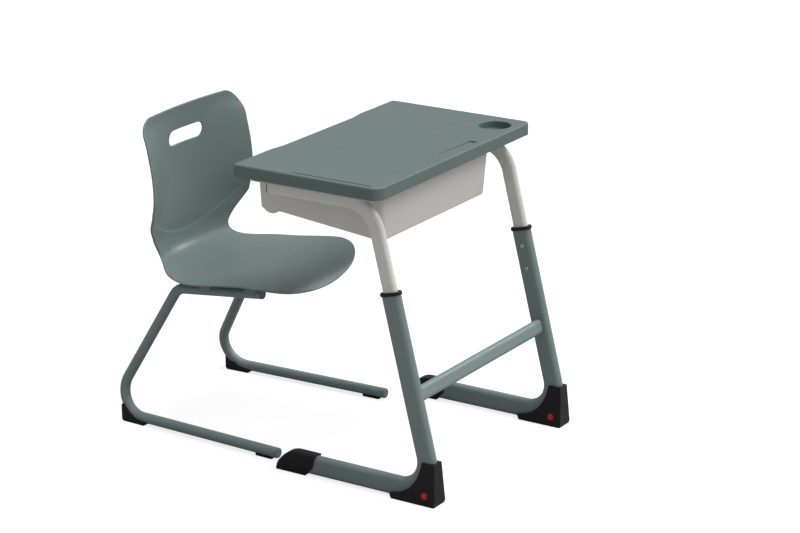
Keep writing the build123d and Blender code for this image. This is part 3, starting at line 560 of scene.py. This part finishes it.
def build_shell():
    verts, faces = shell_solid()
    verts[:, 1] += Y_SHIFT
    mesh = bpy.data.meshes.new("seat_shell_skin")
    mesh.from_pydata((verts * MM).tolist(), [], faces.tolist())
    mesh.update()
    mesh.validate()
    shell = bpy.data.objects.new("seat_shell_skin", mesh)
    bpy.context.scene.collection.objects.link(shell)
    mesh.polygons.foreach_set("use_smooth", [True] * len(mesh.polygons))
    mesh.materials.append(MATERIALS["teal_shell"])
    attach(shell, "chair")

    bm = bmesh.new()
    bm.from_mesh(mesh)
    bmesh.ops.recalc_face_normals(bm, faces=bm.faces)
    bm.to_mesh(mesh)
    bm.free()
    # the round trip rewrites the shading flags
    mesh.polygons.foreach_set("use_smooth", [True] * len(mesh.polygons))
    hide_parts("seat_shell")


build_shell()


# ------------------------------------------------------------------ studio
def floor_material():
    """Near-white to the camera, mid grey to every other ray."""
    material, g = new_material("studio_floor")
    seen = g.add("ShaderNodeBsdfDiffuse", {0: (0.34, 0.34, 0.34, 1)})
    glow = g.add("ShaderNodeEmission", {"Color": (1, 1, 1, 1), "Strength": 0.76})
    lit = g.add("ShaderNodeAddShader", {0: seen.outputs[0], 1: glow.outputs[0]})
    bounce = g.add("ShaderNodeBsdfDiffuse", {0: (0.36, 0.36, 0.36, 1)})
    is_camera = g.add("ShaderNodeLightPath").outputs["Is Camera Ray"]
    mixed = g.add("ShaderNodeMixShader", {0: is_camera, 1: bounce.outputs[0], 2: lit.outputs[0]})
    g.add("ShaderNodeOutputMaterial", {0: mixed.outputs[0]})
    return material


def build_floor(half=60):
    material = floor_material()
    mesh = bpy.data.meshes.new("studio_floor")
    corners = [(-half, -half, 0), (half, -half, 0), (half, half, 0), (-half, half, 0)]
    mesh.from_pydata(corners, [], [(0, 1, 2, 3)])
    mesh.materials.append(material)
    floor = bpy.data.objects.new("studio_floor", mesh)
    bpy.context.scene.collection.objects.link(floor)


def build_world():
    """White light that grows stronger towards the zenith."""
    world = bpy.data.worlds.new("studio")
    bpy.context.scene.world = world
    world.use_nodes = True
    g = Graph(world.node_tree)
    direction = g.add("ShaderNodeTexCoord").outputs["Generated"]
    height = g.add("ShaderNodeSeparateXYZ", {0: direction}).outputs["Z"]
    strength = g.ramp(height, from_min=-0.1, from_max=0.95, to_min=0.20, to_max=0.62)
    sky = g.add("ShaderNodeBackground", {"Color": (1.0, 1.0, 1.0, 1), "Strength": strength})
    g.add("ShaderNodeOutputWorld", {0: sky.outputs[0]})


def sun(name, toward, power, angle):
    """Soft light that arrives from the direction given; angle in degrees."""
    light = bpy.data.lights.new(name, "SUN")
    light.energy = power
    light.angle = math.radians(angle)
    ob = bpy.data.objects.new(name, light)
    bpy.context.scene.collection.objects.link(ob)
    ob.rotation_euler = Vector(toward).to_track_quat("Z", "Y").to_euler()


def build_camera():
    place = Vector((-5.137264, -3.356015 + Y_SHIFT * MM, 2.465941))
    yaw, pitch, roll = 0.5719706172835339, -0.3185953896496658, -0.006915838973171205
    forward = Vector((math.cos(pitch) * math.cos(yaw), math.cos(pitch) * math.sin(yaw),
                      math.sin(pitch)))
    level = forward.cross(Vector((0, 0, 1))).normalized()
    right = level * math.cos(roll) + level.cross(forward) * math.sin(roll)
    up = right.cross(forward)
    data = bpy.data.cameras.new("main_camera")
    camera = bpy.data.objects.new("main_camera", data)
    bpy.context.scene.collection.objects.link(camera)
    turn = Matrix((right, up, -forward)).transposed().to_4x4()
    camera.matrix_world = Matrix.Translation(place) @ turn
    data.sensor_width = 36.0
    data.lens = 120.138601
    data.shift_x = -0.00591155
    data.shift_y = 0.0009635125
    data.clip_end = 200.0
    bpy.context.scene.camera = camera


build_floor()
build_world()
sun("key", toward=(0.25, -0.74, 0.62), power=1.25, angle=26)
sun("top", toward=(0.12, -0.18, 1.0), power=1.85, angle=34)
sun("rim", toward=(0.80, -0.29, 0.49), power=0.55, angle=14)
bpy.context.scene.view_settings.view_transform = "Standard"
build_camera()

bpy.context.view_layer.update()
